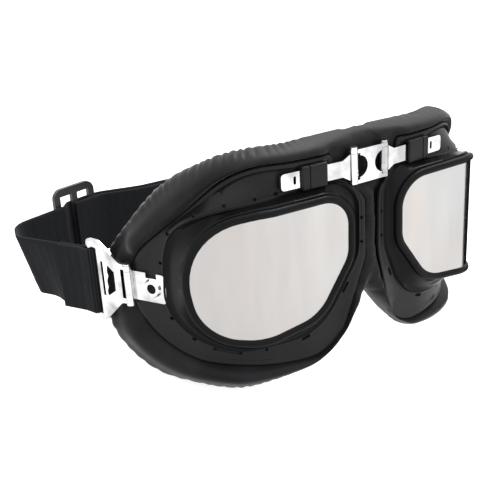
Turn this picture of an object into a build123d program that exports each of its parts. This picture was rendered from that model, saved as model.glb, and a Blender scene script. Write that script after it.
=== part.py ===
from build123d import *
from math import cos, sin, tan, atan2, degrees, radians
import os

# Riding goggles standing on a table. Millimetres, +Z up, the lenses look towards -Y.
# Every piece is drawn with x = 0 on the middle plane, y = 0 on the bridge pins and z = 0 on the table.
# place() then moves the whole set, so that the origin is the bottom centre of its box.
# Pieces are drawn for the wearer's left, +X, and mirrored for the wearer's right.

# ---- driving dimensions ----
DRAW_ANGLE = 24.0          # each eye frame is moulded along an axis turned outwards by this angle
TALL = 120.0               # height of the tall prisms that the plan curves cut
RIM_DEPTH = 2.4            # bezel, front to back
LIP_DEPTH = 0.9            # bezel's front lip over the lens
LENS_THICK = 1.5
LENS_UNDER_LIP = 1.6       # how far the lens reaches under the lip
RIM_WIDTH = 3.0            # bezel's front face
GASKET_THICK = 0.8
WALL = 1.8                 # moulded wall of the frame
LEDGE = 2.0                # frame's front ledge behind the bezel
FLANGE_THICK = 2.0
BACKING_THICK = 1.4
VENT_R = 0.9
VENT_COUNT = 22
CUSHION_PROUD = 1.2        # how far the padding stands in front of the flange
EDGE_GAP = 0.3

# plan curves seen from above: start x, y, first angle, first run, bend radius, last angle, last run,
# and how long the curve's nose end is and how far it leans forward
LENS_CURVE = (15.2, -5.4, 0.0, 34.3, 15.7, 55.0, 23.4, 1.0, 0.0)
FLANGE_CURVE = (3.5, 0.8, 4.0, 26.0, 52.0, 62.0, 30.0, 12.0, 3.2)
FACE_CURVE = (0.0, 13.0, 10.0, 20.0, 60.0, 66.0, 32.0, 1.0, 0.0)

# outlines seen along the draw axis: across, height, corner radius
OPENING = [(11.7, 76.5, 11), (77.6, 73, 26), (77.6, 21, 21), (26, 27.5, 22), (11.7, 52, 12)]
BOX_FRONT = [(8.9, 79.3, 12), (77.5, 76, 28), (77.5, 18, 23), (24.5, 24.5, 24), (8.9, 51, 13)]
BOX_BACK = [(3.4, 86, 15), (87.5, 82, 33), (87.5, 8, 30), (19, 10, 28), (3.4, 46, 16)]
BOX_FRONT_AT, BOX_BACK_AT = 28.0, -16.0
FLANGE = [(2.3, 78.4, 8), (13, 78.4, 2), (17, 92.9, 2), (58, 93, 35), (100, 51, 30),
          (101, 8.5, 30), (15, 4.8, 18), (2.3, 47, 20)]
CUSHION = [(-14, 99, 6), (60, 99, 50), (84, 86.5, 40), (110.5, 50, 24), (112, -8, 34), (58, -8, 30),
           (26, 1, 14), (-14, 45, 6)]
CUSHION_OPENING = [(11, 84, 19), (88, 80, 33), (88, 12, 30), (21, 12, 26), (11, 47, 16)]

# bridge
PIN_X, PIN_R, PIN_CLEAR = 8.1, 1.0, 0.05
PIN_Z0, PIN_Z1 = 78.6, 93.6
KNUCKLE_R = 2.0
BRIDGE_Z = 86.1            # middle height of the bridge
BRIDGE_H = 14.2
TAB = 1.5                  # link's knuckles above and below the arm's barrel
SHEET = 1.2                # chromed sheet
ARM_ANGLE = 4.0
ARM_H, ARM_LENGTH, NECK = 6.8, 34.5, 5.5
KEEPER_START, KEEPER_END = 13.6, 25.4   # along the arm from the pin
KEEPER_CLEAR = 0.06

# temple
TEMPLE_S = 107.0           # hinge's place along the flange curve
TEMPLE_OUT = 2.15          # and in front of it
TEMPLE_Z, TEMPLE_H = 38.6, 13.2
BRACKET_S0 = 89.0
RIVET_S = 95.5
TEMPLE_PIN_R = 1.0
TEMPLE_KNUCKLE_R = 1.9
BUCKLE_ANGLE = 70.9
BUCKLE_TAB = 2.4
BAR_REACH, BAR_R = 22.1, 1.2
BUCKLE_Z0, BUCKLE_Z1 = 17.6, 56.0

# strap
STRAP_Z0, STRAP_Z1 = 21.5, 51.5
STRAP_THICK = 1.8
LAYER = 2.2                # each layer's middle, from the slider's middle plane
FOLD = (114.0, 111.0)      # sharp turn beside the temple
SLIDER_MID = (-73.5, 140.5)
SLIDER_ANGLE = 16.0
BACK = [(-36, 138.5), (46, 137), (90, 130)]
BACK_RADII = [14.0, 30.0, 60.0, 40.0, 14.0]
FAR_REACH = 38.0           # from the far bar to the turn beside the temple
SLIDER_L, SLIDER_THICK = 25.0, 2.0
SLIDER_Z0, SLIDER_Z1 = 14.0, 60.0
SLOT_L, SLOT_Z0, SLOT_Z1 = 7.2, 18.0, 56.0


# ---- helpers ----
DRAW = Plane(origin=(0, 0, 0), x_dir=(cos(radians(DRAW_ANGLE)), sin(radians(DRAW_ANGLE)), 0),
             z_dir=(sin(radians(DRAW_ANGLE)), -cos(radians(DRAW_ANGLE)), 0))


def turn(x, y, angle, along, aside=0.0):
    """The point reached from x, y by going along an angle in plan, then aside to its left."""
    a = radians(angle)
    return (x + along * cos(a) - aside * sin(a), y + along * sin(a) + aside * cos(a))


def curve_at(curve, s, inward=0.0):
    """A point on a plan curve at distance s, moved towards the face, and the angle there."""
    x, y, a0, run, r, a1, last, nose, lean = curve
    bend = radians(a1 - a0) * r
    if s <= run:
        forward = lean * max(0.0, 1 - s / nose)
        return turn(x, y, a0, s, inward - forward), a0
    cx, cy = turn(*turn(x, y, a0, run), a0, 0, r)
    a = min(a1, a0 + degrees((s - run) / r))
    px, py = turn(cx, cy, a, 0, -r)
    return turn(px, py, a, max(0.0, s - run - bend), inward), a


def curve_points(curve, inward, lead=0.0, tail=0.0):
    """Start, nose end, bend start, middle and end, and end of a plan curve, moved towards the face."""
    run, bend, nose = curve[3], radians(curve[5] - curve[2]) * curve[4], curve[7]
    stops = [-lead, nose, run, run + bend / 2, run + bend, run + bend + curve[6] + tail]
    return [curve_at(curve, s, inward)[0] for s in stops]


def curve_edges(p):
    """Two lines, an arc and a line through the points of a plan curve."""
    return [Line(p[0], p[1]), Line(p[1], p[2]), ThreePointArc(p[2], p[3], p[4]), Line(p[4], p[5])]


def band(front, back, z0=-20.0, z1=TALL, lead=6.0, tail=14.0):
    """A tall solid between two plan curves, each given as curve and shift towards the face."""
    a = curve_points(*front, lead, tail)
    b = curve_points(*back, lead, tail)
    edges = curve_edges(a) + [Line(a[5], b[5])] + curve_edges(b) + [Line(b[0], a[0])]
    return Pos(0, 0, z0) * extrude(make_face(edges), amount=z1 - z0)


def corner_cut(before, corner, after):
    """Where a rounded corner starts, its middle and where it ends."""
    p, q = Vector(*corner[:2]), corner[2]
    u = (Vector(*before[:2]) - p).normalized()
    v = (Vector(*after[:2]) - p).normalized()
    half = radians(u.get_angle(v)) / 2
    reach = q / tan(half)
    middle = p + (u + v).normalized() * (q / sin(half) - q)
    return p + u * reach, middle, p + v * reach


def outline(corners, grow=0.0):
    """A closed outline with rounded corners as a flat face."""
    count = len(corners)
    cuts = [corner_cut(corners[i - 1], corners[i], corners[(i + 1) % count]) for i in range(count)]
    edges = []
    for i, (start, middle, end) in enumerate(cuts):
        if corners[i][2] > 0:
            edges.append(ThreePointArc(start, middle, end))
        following = cuts[(i + 1) % count][0]
        if (following - end).length > 1e-4:
            edges.append(Line(end, following))
    face = make_face(edges)
    return offset(face, amount=grow) if grow else face


def prism(corners, grow=0.0):
    """An outline drawn through everything along the draw axis."""
    return extrude(DRAW * outline(corners, grow), amount=90, both=True)


def box_taper(inset=0.0):
    """The frame's box, wider at the flange than at the bezel."""
    front = DRAW * Pos(0, 0, BOX_FRONT_AT) * outline(BOX_FRONT, -inset)
    back = DRAW * Pos(0, 0, BOX_BACK_AT) * outline(BOX_BACK, -inset)
    return loft([back, front], ruled=True)


def upright(x, y, r, z0, z1):
    return Pos(x, y, z0) * extrude(Circle(r), amount=z1 - z0)


def slab(x, y, angle, start, end, left, right, z0, z1):
    """A box laid along an angle in plan, from start to end and from left to right of the line."""
    face = Polyline(turn(x, y, angle, start, left), turn(x, y, angle, end, left),
                    turn(x, y, angle, end, right), turn(x, y, angle, start, right), close=True)
    return Pos(0, 0, z0) * extrude(make_face(face), amount=z1 - z0)


def beside(points, aside):
    """The points of a path moved to its left, so that every run keeps its distance."""
    moved = []
    for i, p in enumerate(points):
        before, after = points[max(i - 1, 0)], points[min(i + 1, len(points) - 1)]
        first = atan2(p[1] - before[1], p[0] - before[0]) if i else None
        second = atan2(after[1] - p[1], after[0] - p[0]) if i < len(points) - 1 else first
        first = second if first is None else first
        middle, reach = (first + second) / 2, aside / cos((second - first) / 2)
        moved.append((p[0] - reach * sin(middle), p[1] + reach * cos(middle)))
    return moved


def ribbon(points, radii, aside=0.0, z0=STRAP_Z0, z1=STRAP_Z1):
    """Webbing on edge along a path with rounded turns, beside the path by a distance."""
    half = STRAP_THICK / 2
    sides = []
    for edge in (aside + half, aside - half):
        side = []
        for i, p in enumerate(beside(points, edge)):
            inner = 0 < i < len(points) - 1
            near = [points[i - 1], points[i], points[i + 1]] if inner else None
            side.append((*p, corner_radius(*near, radii[i - 1], edge) if inner else 0))
        sides.append(side)
    return Pos(0, 0, z0) * extrude(outline(sides[0] + sides[1][::-1]), amount=z1 - z0)


def corner_radius(before, corner, after, radius, aside):
    """The radius of a turn, seen from a line beside the path."""
    cross = (corner[0] - before[0]) * (after[1] - corner[1]) - (corner[1] - before[1]) * (after[0] - corner[0])
    return radius - aside if cross > 0 else radius + aside


# ---- one eye ----
def bezel():
    ring = prism(OPENING, RIM_WIDTH) - prism(OPENING)
    shell = band((LENS_CURVE, 0), (LENS_CURVE, RIM_DEPTH)) & ring
    seat = band((LENS_CURVE, LIP_DEPTH), (LENS_CURVE, RIM_DEPTH + 1)) & prism(OPENING, LENS_UNDER_LIP)
    return shell - seat


def lens():
    layer = band((LENS_CURVE, LIP_DEPTH), (LENS_CURVE, LIP_DEPTH + LENS_THICK))
    return layer & prism(OPENING, LENS_UNDER_LIP)


def gasket():
    ring = prism(OPENING, LENS_UNDER_LIP) - prism(OPENING, -0.4)
    return band((LENS_CURVE, RIM_DEPTH), (LENS_CURVE, RIM_DEPTH + GASKET_THICK)) & ring


def vent(k):
    """One small hole through the box wall just in front of the flange."""
    a = 2 * 3.14159265 * (k + 0.5) / VENT_COUNT
    middle = (46.0, 47.0)
    ray_across, ray_up = cos(a), sin(a)
    across, up = middle[0] + 39.5 * ray_across, middle[1] + 35.5 * ray_up
    s = min(range(0, 130), key=lambda q: abs(plane_across(curve_at(FLANGE_CURVE, q)[0]) - across))
    (x, y), _ = curve_at(FLANGE_CURVE, s, -1.2)
    away = Vector(cos(radians(DRAW_ANGLE)) * ray_across, sin(radians(DRAW_ANGLE)) * ray_across, ray_up)
    return Plane(origin=Vector(x, y, up) - away * 8, z_dir=away) * Cylinder(VENT_R, 16)


def plane_across(point):
    """How far a plan point lies across the draw plane."""
    return point[0] * cos(radians(DRAW_ANGLE)) + point[1] * sin(radians(DRAW_ANGLE))


def keeper():
    """The loop on the flange that the bridge arm slides in."""
    block = slab(PIN_X, 0, ARM_ANGLE, KEEPER_START, KEEPER_END, -SHEET / 2 - 1.4, 2.4,
                 BRIDGE_Z - ARM_H / 2 - 1.6, BRIDGE_Z + ARM_H / 2 + 1.6)
    half = SHEET / 2 + KEEPER_CLEAR
    slot = slab(PIN_X, 0, ARM_ANGLE, KEEPER_START - 20, KEEPER_END + 20, -half, half,
                BRIDGE_Z - ARM_H / 2 - KEEPER_CLEAR, BRIDGE_Z + ARM_H / 2 + KEEPER_CLEAR)
    return block, slot


def eye_frame():
    plate = band((FLANGE_CURVE, 0), (FLANGE_CURVE, FLANGE_THICK)) & prism(FLANGE)
    lip = band((FLANGE_CURVE, -1.0), (FLANGE_CURVE, 0.2), z0=70) & (prism(FLANGE) - prism(FLANGE, -1.6))
    lip = lip & (Pos(60, 0, 90) * Box(84, 200, 60))
    box = band((LENS_CURVE, RIM_DEPTH), (FLANGE_CURVE, 1.0)) & box_taper()
    hollow = band((LENS_CURVE, RIM_DEPTH + LEDGE), (FLANGE_CURVE, 30)) & box_taper(WALL)
    sight = band((LENS_CURVE, 0), (FLANGE_CURVE, 10)) & prism(OPENING, -0.6)
    seat = band((LENS_CURVE, 0), (LENS_CURVE, RIM_DEPTH + GASKET_THICK)) & prism(OPENING, LENS_UNDER_LIP)
    block, slot = keeper()
    block = block & band((FLANGE_CURVE, -9), (FLANGE_CURVE, 1))
    solid = plate + lip + box + block - slot - hollow - sight - seat
    for k in range(VENT_COUNT):
        solid -= vent(k)
    (x, y), angle = curve_at(FLANGE_CURVE, RIVET_S)
    hole = Plane(origin=(x, y, TEMPLE_Z), z_dir=Vector(sin(radians(angle)), -cos(radians(angle)), 0))
    return solid - hole * Cylinder(RIVET_R, 12)


def backing_ring():
    ring = prism(CUSHION_OPENING, 2.5) - prism(CUSHION_OPENING, -1.0)
    layer = band((FLANGE_CURVE, FLANGE_THICK), (FLANGE_CURVE, FLANGE_THICK + BACKING_THICK))
    return (layer & ring & prism(FLANGE, -1.2)) - rivet_room()


def rivet_room():
    """Room behind the flange for the rivet's rolled end."""
    (x, y), angle = curve_at(FLANGE_CURVE, RIVET_S, FLANGE_THICK + 1.5)
    out = Vector(sin(radians(angle)), -cos(radians(angle)), 0)
    return Plane(origin=(x, y, TEMPLE_Z), z_dir=out) * Cylinder(RIVET_HEAD_R + 0.6, 3.4)


def cushion():
    back = FLANGE_THICK + BACKING_THICK
    pad = band((FLANGE_CURVE, back), (FACE_CURVE, 0)) & (prism(CUSHION) - prism(CUSHION_OPENING))
    roll = band((FLANGE_CURVE, -CUSHION_PROUD), (FLANGE_CURVE, back)) & (prism(CUSHION) - prism(FLANGE, EDGE_GAP))
    behind = band((FLANGE_CURVE, FLANGE_THICK), (FLANGE_CURVE, back)) & prism(FLANGE, EDGE_GAP)
    behind -= prism(CUSHION_OPENING, 2.5)
    solid = pad + roll + behind
    solid -= Pos(6, -2, 88) * Box(30, 12.6, 22)
    solid -= Pos(-50 + 2.4, 0, 60) * Box(100, 200, 200)
    solid -= band((FLANGE_CURVE, -9), (FLANGE_CURVE, 3.8), z0=8, z1=64) & (Pos(90, 103, 40) * Box(80, 100, 80))
    return solid - rivet_room()


# ---- bridge ----
def bridge_link():
    z0, z1 = BRIDGE_Z - BRIDGE_H / 2, BRIDGE_Z + BRIDGE_H / 2
    plate = Pos(0, -1.1, BRIDGE_Z) * Box(11.6, SHEET, BRIDGE_H)
    for side in (-1, 1):
        plate -= Pos(side * 6.5, 0, BRIDGE_Z) * Rot(90, 0, 0) * Cylinder(4.6, 20)
        for low in (z0, z1 - TAB):
            tab = upright(side * PIN_X, 0, KNUCKLE_R, low, low + TAB)
            tab += Pos(side * (PIN_X - 1.6), -0.85, low + TAB / 2) * Box(3.4, 1.7, TAB)
            plate += tab
        plate -= upright(side * PIN_X, 0, PIN_R, 0, TALL)
    return plate


def bridge_pin():
    return upright(PIN_X, 0, PIN_R, PIN_Z0, PIN_Z1) + upright(PIN_X, 0, 1.7, PIN_Z1 - 0.4, PIN_Z1 + 0.6)


def bridge_arm():
    half = BRIDGE_H / 2 - TAB - 0.1
    side = Plane(origin=(PIN_X, 0, BRIDGE_Z), x_dir=(cos(radians(ARM_ANGLE)), sin(radians(ARM_ANGLE)), 0),
                 z_dir=(sin(radians(ARM_ANGLE)), -cos(radians(ARM_ANGLE)), 0))
    shape = [(0, half, 0), (1.8, half, 1.5), (NECK, ARM_H / 2, 2), (ARM_LENGTH, ARM_H / 2, 1.5),
             (ARM_LENGTH, -ARM_H / 2, 1.5), (NECK, -ARM_H / 2, 2), (1.8, -half, 1.5), (0, -half, 0)]
    arm = extrude(side * outline(shape), amount=SHEET / 2, both=True)
    arm += upright(PIN_X, 0, KNUCKLE_R, BRIDGE_Z - half, BRIDGE_Z + half)
    arm -= extrude(side * Pos(ARM_LENGTH - 6.2, 0) * SlotOverall(3.4, 1.2, rotation=90), amount=5, both=True)
    return arm - upright(PIN_X, 0, PIN_R + PIN_CLEAR, 0, TALL)


def nose_gusset():
    face = make_face(Polyline((-2.1, 28), (2.1, 28), (2.1, 99), (-2.1, 99), close=True))
    wall = Plane.XZ * face
    wall = Pos(0, 4.5, 0) * extrude(wall, amount=-9.5)
    return wall


# ---- temple ----
(HINGE_X, HINGE_Y), FLANGE_END_ANGLE = curve_at(FLANGE_CURVE, TEMPLE_S, -TEMPLE_OUT)
RIVET_R, RIVET_HEAD_R, RIVET_HOLE_R = 3.0, 4.3, 2.2


def temple_bracket():
    z0, z1 = TEMPLE_Z - TEMPLE_H / 2, TEMPLE_Z + TEMPLE_H / 2
    plate = band((FLANGE_CURVE, -SHEET), (FLANGE_CURVE, 0), z0=z0, z1=z1)
    (x, y), angle = curve_at(FLANGE_CURVE, BRACKET_S0, 0)
    face = Plane(origin=(x, y, TEMPLE_Z), x_dir=(cos(radians(angle)), sin(radians(angle)), 0),
                 z_dir=(sin(radians(angle)), -cos(radians(angle)), 0))
    length = TEMPLE_S - BRACKET_S0
    shape = [(0, TEMPLE_H / 2, 2), (length, TEMPLE_H / 2, 0), (length, -TEMPLE_H / 2, 0), (0, -TEMPLE_H / 2, 2)]
    notch = Pos(7.0, TEMPLE_H / 2) * Rectangle(5.4, 4.6)
    bracket = plate & extrude(face * (outline(shape) - notch), amount=12, both=True)
    bracket += upright(HINGE_X, HINGE_Y, TEMPLE_KNUCKLE_R, z0, z1)
    bracket -= upright(HINGE_X, HINGE_Y, TEMPLE_PIN_R + PIN_CLEAR, 0, TALL)
    return bracket - rivet_axis() * Cylinder(RIVET_R, 14)


def rivet_axis():
    (x, y), angle = curve_at(FLANGE_CURVE, RIVET_S)
    return Plane(origin=(x, y, TEMPLE_Z), z_dir=Vector(sin(radians(angle)), -cos(radians(angle)), 0))


def bracket_rivet():
    shank = extrude(Circle(RIVET_R), amount=SHEET + FLANGE_THICK)
    shank = Pos(0, 0, -FLANGE_THICK) * shank
    dome = Pos(0, 0, SHEET) * extrude(Circle(RIVET_HEAD_R), amount=1.1, taper=35)
    rolled = Pos(0, 0, -FLANGE_THICK - 0.8) * extrude(Circle(RIVET_HEAD_R - 0.4), amount=0.8)
    return rivet_axis() * (shank + dome + rolled - Cylinder(RIVET_HOLE_R, 20))


def temple_pin():
    half = TEMPLE_H / 2 + BUCKLE_TAB + 0.2
    pin = upright(HINGE_X, HINGE_Y, TEMPLE_PIN_R, TEMPLE_Z - half, TEMPLE_Z + half)
    return pin + upright(HINGE_X, HINGE_Y, 1.6, TEMPLE_Z + half, TEMPLE_Z + half + 0.7)


def strap_buckle():
    a = radians(BUCKLE_ANGLE)
    face = Plane(origin=(HINGE_X, HINGE_Y, 0), x_dir=(cos(a), sin(a), 0), z_dir=(sin(a), -cos(a), 0))
    inner = TEMPLE_H / 2 + 0.12
    outer = inner + BUCKLE_TAB
    mid = TEMPLE_Z
    shape = [(0, mid + outer, 0), (4.6, mid + outer, 4), (16.6, BUCKLE_Z1, 4), (BAR_REACH + 1.6, BUCKLE_Z1, 2.4),
             (BAR_REACH + 1.6, BUCKLE_Z0, 2.4), (16.6, BUCKLE_Z0, 4), (4.6, mid - outer, 4), (0, mid - outer, 0)]
    plate = outline(shape)
    plate -= Pos(1.0, mid) * Rectangle(6.0, 2 * inner)
    plate -= outline([(8.0, mid - 4.3, 0), (8.0, mid + 4.3, 0), (13.1, mid + 8, 0), (15.8, mid + 8, 0),
                      (15.8, mid - 8, 0), (13.1, mid - 8, 0)])
    window = Pos(BAR_REACH - 1.0, (STRAP_Z0 + STRAP_Z1) / 2) * Rectangle(6.6, STRAP_Z1 - STRAP_Z0 + 1.2)
    plate -= window
    buckle = extrude(face * plate, amount=SHEET / 2, both=True)
    bar = Plane(origin=(HINGE_X, HINGE_Y, 0)) * Pos(*turn(0, 0, BUCKLE_ANGLE, BAR_REACH), BUCKLE_Z0 + 0.8)
    buckle += bar * extrude(Circle(BAR_R), amount=BUCKLE_Z1 - BUCKLE_Z0 - 1.6)
    for z in (mid - outer, mid + inner):
        buckle += upright(HINGE_X, HINGE_Y, TEMPLE_KNUCKLE_R, z, z + BUCKLE_TAB)
    return buckle - upright(HINGE_X, HINGE_Y, TEMPLE_PIN_R, 0, TALL)


# ---- strap ----
BAR_X, BAR_Y = turn(HINGE_X, HINGE_Y, BUCKLE_ANGLE, BAR_REACH)
ENTRY_ANGLE = degrees(atan2(FOLD[1] - BAR_Y, FOLD[0] - BAR_X))
SEWN = 17.0                # length of the sewn double layer beyond the bar


def strap_end():
    """The folded and sewn end round the buckle's bar."""
    loop = upright(BAR_X, BAR_Y, 1.4 + STRAP_THICK, STRAP_Z0, STRAP_Z1)
    loop += slab(BAR_X, BAR_Y, ENTRY_ANGLE, 0, SEWN, -STRAP_THICK, STRAP_THICK, STRAP_Z0, STRAP_Z1)
    return loop - upright(BAR_X, BAR_Y, BAR_R + 0.1, 0, TALL)


def at_slider(along, aside):
    return turn(*SLIDER_MID, SLIDER_ANGLE, along, aside)


def strap_run():
    """Single layer from the near sewn end, round the fold and into the slider."""
    start = turn(BAR_X, BAR_Y, ENTRY_ANGLE, SEWN)
    points = [(-start[0], start[1]), (-FOLD[0], FOLD[1]), at_slider(-15, -LAYER), at_slider(-8.4, -LAYER),
              at_slider(-2.6, LAYER), at_slider(0.5, LAYER)]
    return ribbon(points, [2.0, 8.0, 1.5, 1.5])


def strap_layer(aside, start):
    """One of the two layers from the slider behind the head to the far temple."""
    leave = at_slider(SLIDER_L / 2 + 3, 0)
    far = [turn(BAR_X, BAR_Y, ENTRY_ANGLE, reach) for reach in (FAR_REACH, SEWN)]
    return ribbon([at_slider(start, 0), leave] + BACK + far, BACK_RADII, aside)


def strap_slider():
    a = radians(SLIDER_ANGLE)
    face = Plane(origin=(*SLIDER_MID, 0), x_dir=(cos(a), sin(a), 0), z_dir=(sin(a), -cos(a), 0))
    half = SLIDER_L / 2
    plate = outline([(-half, SLIDER_Z0, 5), (-half, SLIDER_Z1, 5), (half, SLIDER_Z1, 5), (half, SLIDER_Z0, 5)])
    for side in (-1, 1):
        plate -= Pos(side * (SLOT_L / 2 + 1.7), (SLOT_Z0 + SLOT_Z1) / 2) * Rectangle(SLOT_L, SLOT_Z1 - SLOT_Z0)
    return extrude(face * plate, amount=SLIDER_THICK / 2, both=True)


# ---- the set ----
def mirrored(shape):
    return mirror(shape, about=Plane.YZ)


def build():
    pieces = {"bridge_link": bridge_link(), "nose_gusset": nose_gusset(), "strap_slider": strap_slider()}
    paired = {"eye_frame": eye_frame, "lens_bezel": bezel, "lens": lens, "lens_gasket": gasket,
              "backing_ring": backing_ring, "face_cushion": cushion, "bridge_pin": bridge_pin,
              "bridge_arm": bridge_arm, "temple_bracket": temple_bracket, "bracket_rivet": bracket_rivet,
              "temple_pin": temple_pin, "strap_buckle": strap_buckle, "strap_end": strap_end}
    for name, make in paired.items():
        left = make()
        pieces[name + "_left"] = left
        pieces[name + "_right"] = mirrored(left)
    pieces["strap_run"] = strap_run()
    pieces["strap_outer_layer"] = strap_layer(LAYER, 1.0)
    pieces["strap_inner_layer"] = strap_layer(-LAYER, -1.4)
    return pieces


def place(pieces):
    """Move the set so that the origin is the bottom centre of its box."""
    boxes = [p.bounding_box() for p in pieces.values()]
    x = (min(b.min.X for b in boxes) + max(b.max.X for b in boxes)) / 2
    y = (min(b.min.Y for b in boxes) + max(b.max.Y for b in boxes)) / 2
    z = min(b.min.Z for b in boxes)
    print("origin moved by", round(x, 4), round(y, 4), round(z, 4))
    for name, px, py in (("bridge pin", PIN_X, 0), ("temple hinge", HINGE_X, HINGE_Y)):
        print(name, "at", round(px - x, 4), round(py - y, 4))
    print("width", round(max(b.max.X for b in boxes) - min(b.min.X for b in boxes), 2),
          "depth", round(max(b.max.Y for b in boxes) - min(b.min.Y for b in boxes), 2),
          "height", round(max(b.max.Z for b in boxes) - z, 2))
    return {name: Pos(-x, -y, -z) * p for name, p in pieces.items()}


os.makedirs("parts", exist_ok=True)
for node, shape in place(build()).items():
    export_step(shape, f"parts/{node}.step")
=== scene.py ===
import bpy
import bmesh
import math
import random
import numpy as np
from mathutils import Matrix, Vector, noise


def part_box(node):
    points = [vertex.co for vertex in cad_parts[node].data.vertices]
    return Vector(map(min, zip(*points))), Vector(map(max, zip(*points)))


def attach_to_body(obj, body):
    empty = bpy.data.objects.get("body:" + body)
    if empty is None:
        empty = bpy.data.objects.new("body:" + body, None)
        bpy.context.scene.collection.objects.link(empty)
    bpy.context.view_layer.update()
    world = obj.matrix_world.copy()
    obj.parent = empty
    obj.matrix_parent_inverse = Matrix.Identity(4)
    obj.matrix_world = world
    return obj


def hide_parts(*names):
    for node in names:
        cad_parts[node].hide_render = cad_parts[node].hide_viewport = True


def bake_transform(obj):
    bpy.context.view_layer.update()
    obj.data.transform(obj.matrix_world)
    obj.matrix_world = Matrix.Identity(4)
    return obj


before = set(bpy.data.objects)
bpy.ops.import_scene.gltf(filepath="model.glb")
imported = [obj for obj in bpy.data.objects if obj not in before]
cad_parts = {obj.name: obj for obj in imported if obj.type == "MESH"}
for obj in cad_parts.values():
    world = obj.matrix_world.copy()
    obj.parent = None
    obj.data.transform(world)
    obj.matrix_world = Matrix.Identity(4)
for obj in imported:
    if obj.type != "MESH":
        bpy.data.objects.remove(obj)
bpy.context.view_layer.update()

# Riding goggles. Shapes are worked out in millimetres with x = 0 midway between the bridge pins, y = 0 on
# the pins and z = 0 a little above the table, then moved into the frame. +X is the wearer's left.
BRIDGE_Z = 86.1  # height of the bridge's middle
MM = 0.001  # one millimetre in metres
SIDES = ((1, "left"), (-1, "right"))


def drawing_origin():
    """Where the drawing's zero point lies in the frame, in millimetres."""
    left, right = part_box("bridge_pin_left"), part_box("bridge_pin_right")
    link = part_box("bridge_link")
    x = (left[0].x + right[1].x) / 2
    y = (left[0].y + left[1].y) / 2
    z = (link[0].z + link[1].z) / 2
    return np.array((x / MM, y / MM, z / MM - BRIDGE_Z))


ORIGIN = drawing_origin()
FLOOR_Z = -ORIGIN[2]


def to_frame(points):
    """Points in drawing millimetres, as points in the frame's metres."""
    return (np.asarray(points, float) + ORIGIN) * MM


# ---- plan curves and outlines
DRAW_ANGLE = math.radians(24.0)
ACROSS = np.array((math.cos(DRAW_ANGLE), math.sin(DRAW_ANGLE)))
AXIS = np.array((math.sin(DRAW_ANGLE), -math.cos(DRAW_ANGLE)))  # the moulding direction, forwards
RAY_CENTRE = (46.0, 48.0)  # middle of one eye, across the draw plane and up
RAYS = 480  # points round every outline
CORNER_STEPS = 16
RUN_STEPS = 20

# Plan curves of one eye: start x, start y, first angle, first run, bend radius, last angle, then how far
# from the nose the curve leans forwards, and by how much.
LENS_CURVE = (15.2, -5.4, 0.0, 34.3, 15.7, 55.0, 1.0, 0.0)
FLANGE_CURVE = (3.5, 0.8, 4.0, 26.0, 52.0, 62.0, 12.0, 3.2)
FACE_CURVE = (0.0, 13.0, 10.0, 20.0, 60.0, 66.0, 1.0, 0.0)

# Outlines of one eye: across the draw plane, height, corner radius. The numbers of SIGHT were made by
# another program, a least-squares fit to the lens edge in the photograph, and then rounded.
SIGHT = [(10.9, 75.7, 12), (85, 76.9, 31), (74.4, 22.8, 15), (25.6, 28.6, 16), (11.2, 50.5, 12)]
BOX_FRONT = [(8.9, 79.3, 12), (77.5, 76, 28), (77.5, 18, 23), (24.5, 24.5, 24), (8.9, 51, 13)]
BOX_BACK = [(3.4, 86, 15), (86.5, 82, 33), (93, 0, 32), (22, 6, 28), (3.4, 46, 16)]
BOX_FRONT_AT, BOX_BACK_AT = 28.0, -16.0  # where those two outlines lie along the draw axis
FLANGE = [(2.5, 77.5, 8), (13, 77.5, 2), (17, 92.9, 2), (58, 93, 35), (100, 51, 30),
          (101, 8.5, 30), (15, 4.8, 18), (2.3, 47, 20)]
MASK = [(-14, 100.6, 6), (62, 98.2, 60), (86, 86, 45), (114.5, 48, 26), (118, -7.9, 33),
        (60, -7.9, 30), (26, 0, 14), (-14, 44, 6)]
MASK_OPENING = [(11, 84, 19), (88, 80, 33), (88, 12, 30), (21, 12, 26), (11, 47, 16)]
RIM_DEPTH = 2.4  # from the front of the bezel to the frame behind it
SWELL = 4.5  # rise of the flange at its upper temple corner
FRONT_WIDTH = 3.3  # from the lens opening to the edge of the box wall
LEDGE_WIDTH = 1.5  # from the lens opening to the frame's inner edge


def plan(curve, s, out=0.0):
    """Points on a plan curve at distances s, moved forwards by out. Returns x and y."""
    x0, y0, a0, run, r, a1, nose, lean = curve
    s, out = np.broadcast_arrays(np.asarray(s, float), np.asarray(out, float))
    a0, a1 = math.radians(a0), math.radians(a1)
    a = np.clip(a0 + (s - run) / r, a0, a1)
    first = np.minimum(s, run)
    last = np.maximum(0.0, s - run - (a1 - a0) * r)
    out = out + lean * np.maximum(0.0, 1 - s / nose)
    x = x0 + first * math.cos(a0) + r * (np.sin(a) - math.sin(a0)) + last * math.cos(a1) + out * np.sin(a)
    y = y0 + first * math.sin(a0) + r * (math.cos(a0) - np.cos(a)) + last * math.sin(a1) - out * np.cos(a)
    return x, y


def unroll(curve, w):
    """Distances along a plan curve for positions across the draw plane."""
    s = np.linspace(-30, 170, 4001)
    x, y = plan(curve, s)
    return np.interp(w, x * ACROSS[0] + y * ACROSS[1], s)


def bent(curve, s, z, out=0.0):
    """Points on the bent sheet over a plan curve."""
    x, y = plan(curve, s, out)
    return np.stack([x, y, np.broadcast_to(z, x.shape)], -1)


def draped(curve, w, z, out=0.0):
    """Points on the bent sheet that lie at positions across the draw plane."""
    return bent(curve, unroll(curve, w), z, out)


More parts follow.
